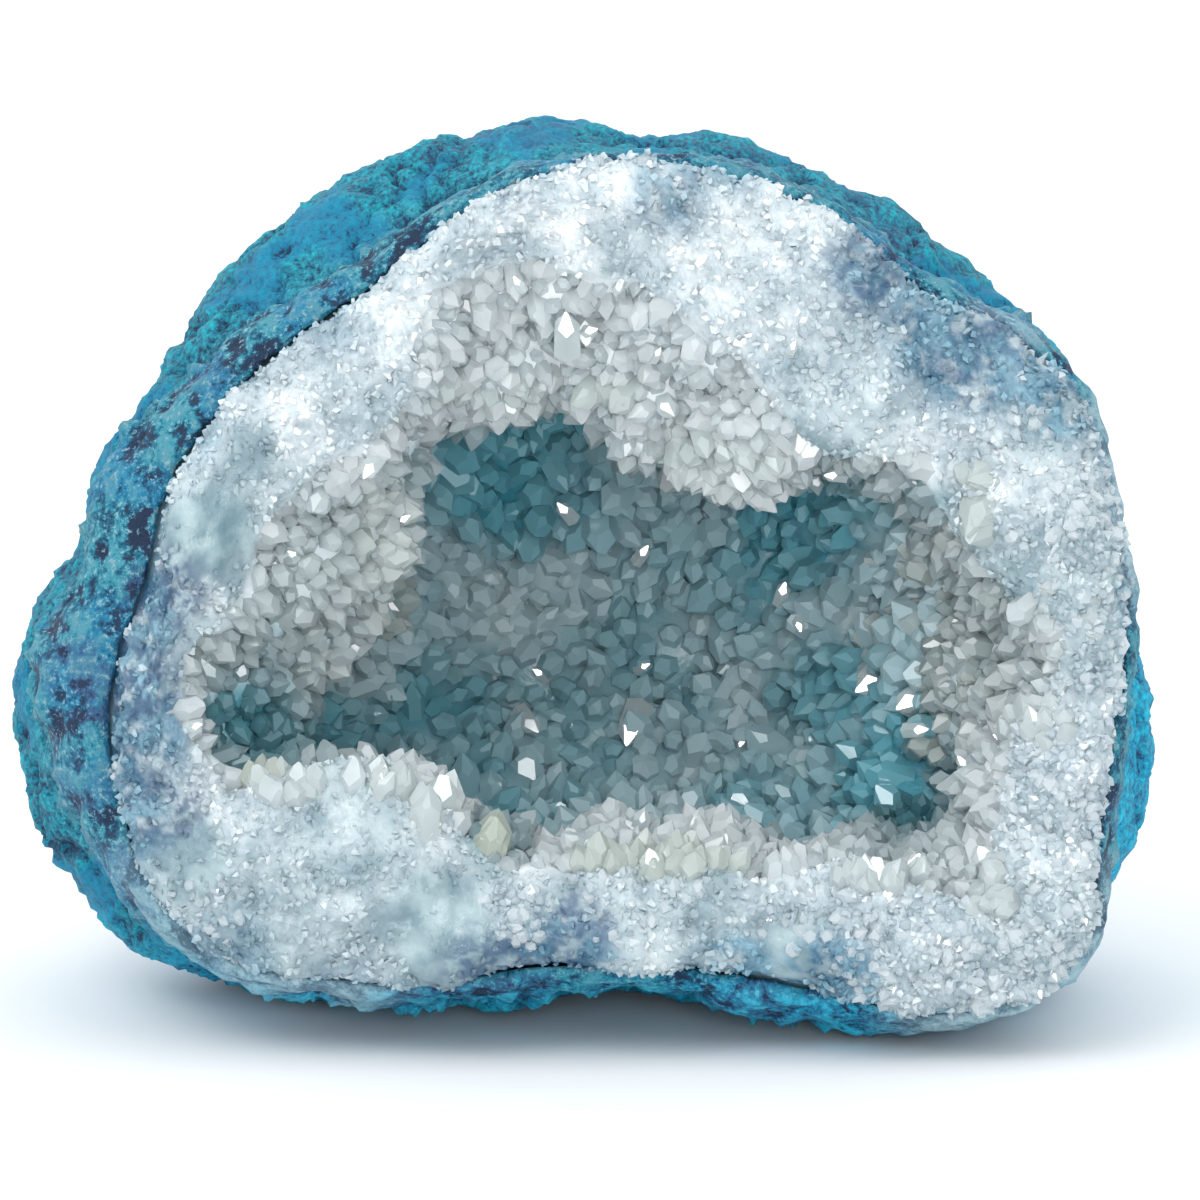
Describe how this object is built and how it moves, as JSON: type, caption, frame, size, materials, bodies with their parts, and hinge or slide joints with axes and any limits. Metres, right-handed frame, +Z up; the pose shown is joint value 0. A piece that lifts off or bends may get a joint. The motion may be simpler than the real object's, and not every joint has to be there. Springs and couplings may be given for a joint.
{
  "type": "agate geode",
  "caption": "Dyed agate geode broken open: a rough blue rock rind round a pale quartz lining whose crystals line a deep hollow; rests on a small flat spot.",
  "frame": {"origin": "middle of the bounding box, at the level of the flat spot that the stone rests on", "axes": "+Z up; the broken face with the mouth of the hollow looks towards -Y; +X to the right of someone who looks into the mouth"},
  "size_m": [0.0836, 0.054, 0.0643],
  "materials": {
    "dyed_rock": "rough, grainy, dyed turquoise and indigo",
    "pale_quartz": "glassy crystal points on milky, sugary quartz"
  },
  "bodies": {
    "root": {"rock_rind": "dyed_rock", "quartz_lining": "pale_quartz"}
  },
  "joints": []
}
